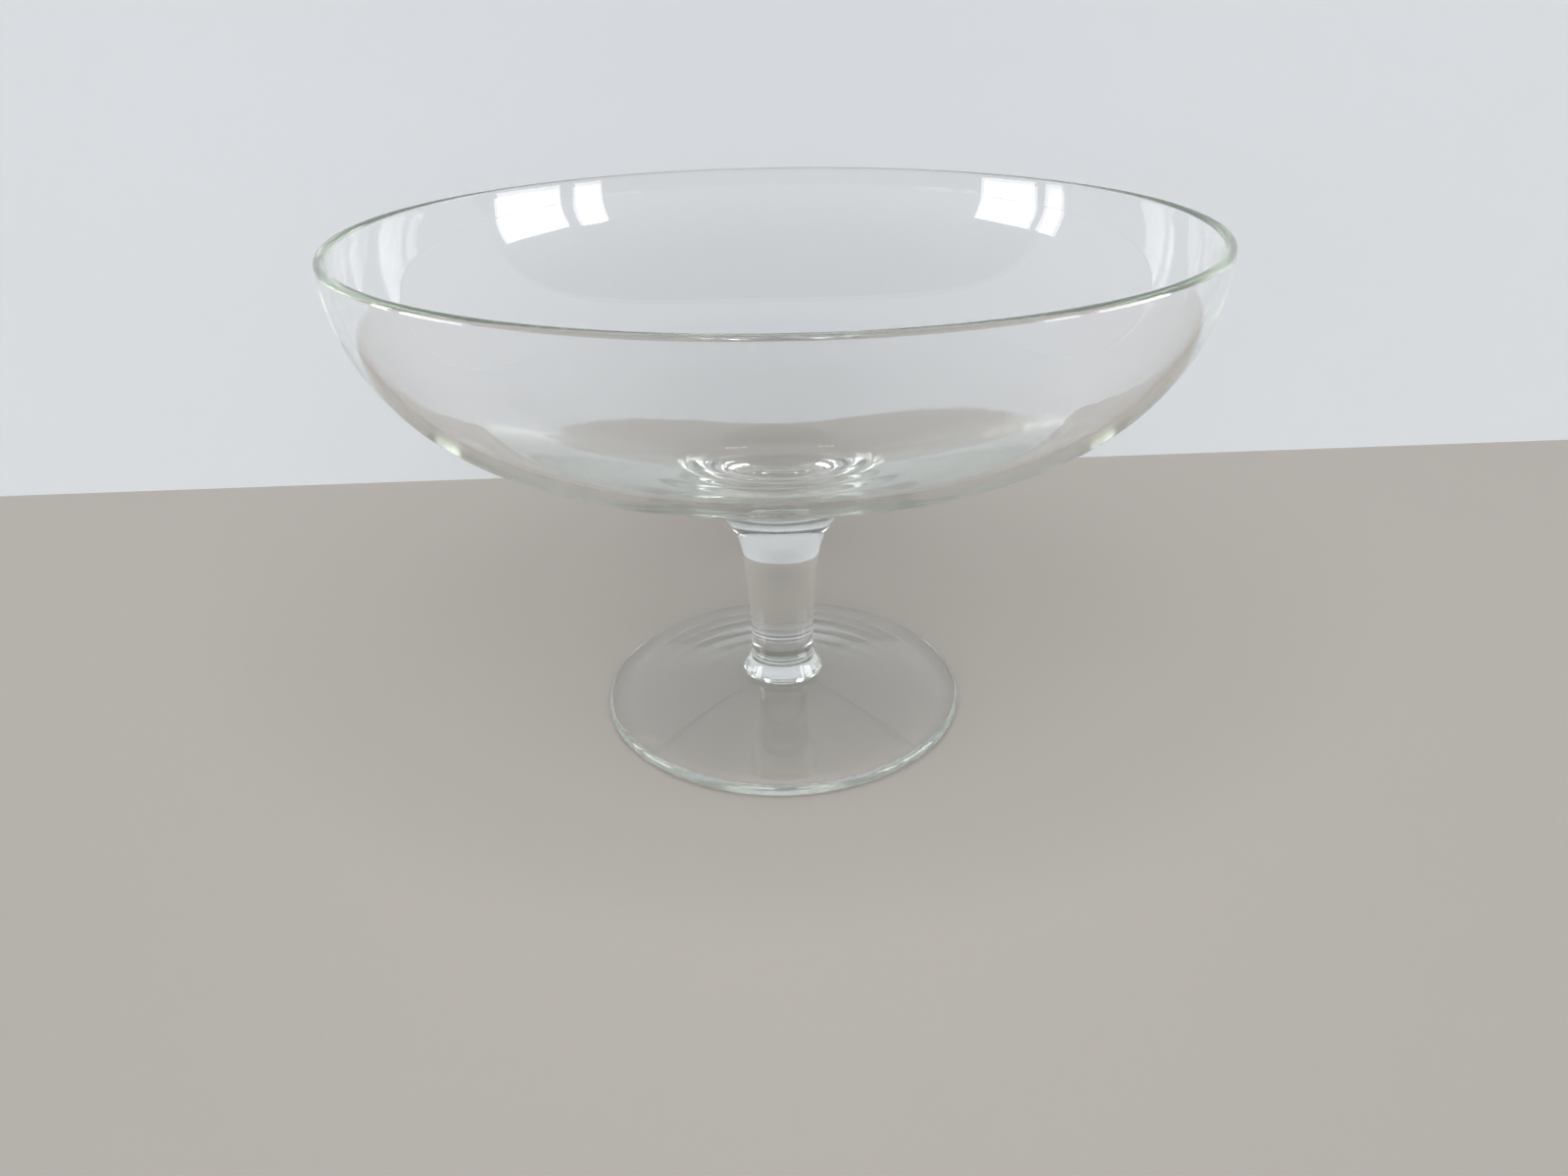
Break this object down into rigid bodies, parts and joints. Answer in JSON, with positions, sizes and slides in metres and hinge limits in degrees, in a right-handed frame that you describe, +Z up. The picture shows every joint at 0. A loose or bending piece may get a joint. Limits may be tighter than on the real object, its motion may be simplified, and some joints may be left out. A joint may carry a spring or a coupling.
{
  "type": "footed trifle bowl",
  "caption": "Wide, shallow clear-glass serving bowl with a rounded side and a melted rim, carried on a short solid flared stem and a round foot.",
  "frame": {"origin": "on the bowl's axis, in the plane of the flat ring that the foot rests on", "axes": "+Z up along the axis of the bowl, stem and foot; X and Y lie in the table top and can be turned freely"},
  "size_m": [0.232, 0.232, 0.1475],
  "materials": {
    "clear_glass": "fire-polished clear soda-lime glass with a faint grey-green cast in thick places"
  },
  "bodies": {
    "root": {"bowl": "clear_glass", "stem": "clear_glass", "foot": "clear_glass"}
  },
  "joints": []
}
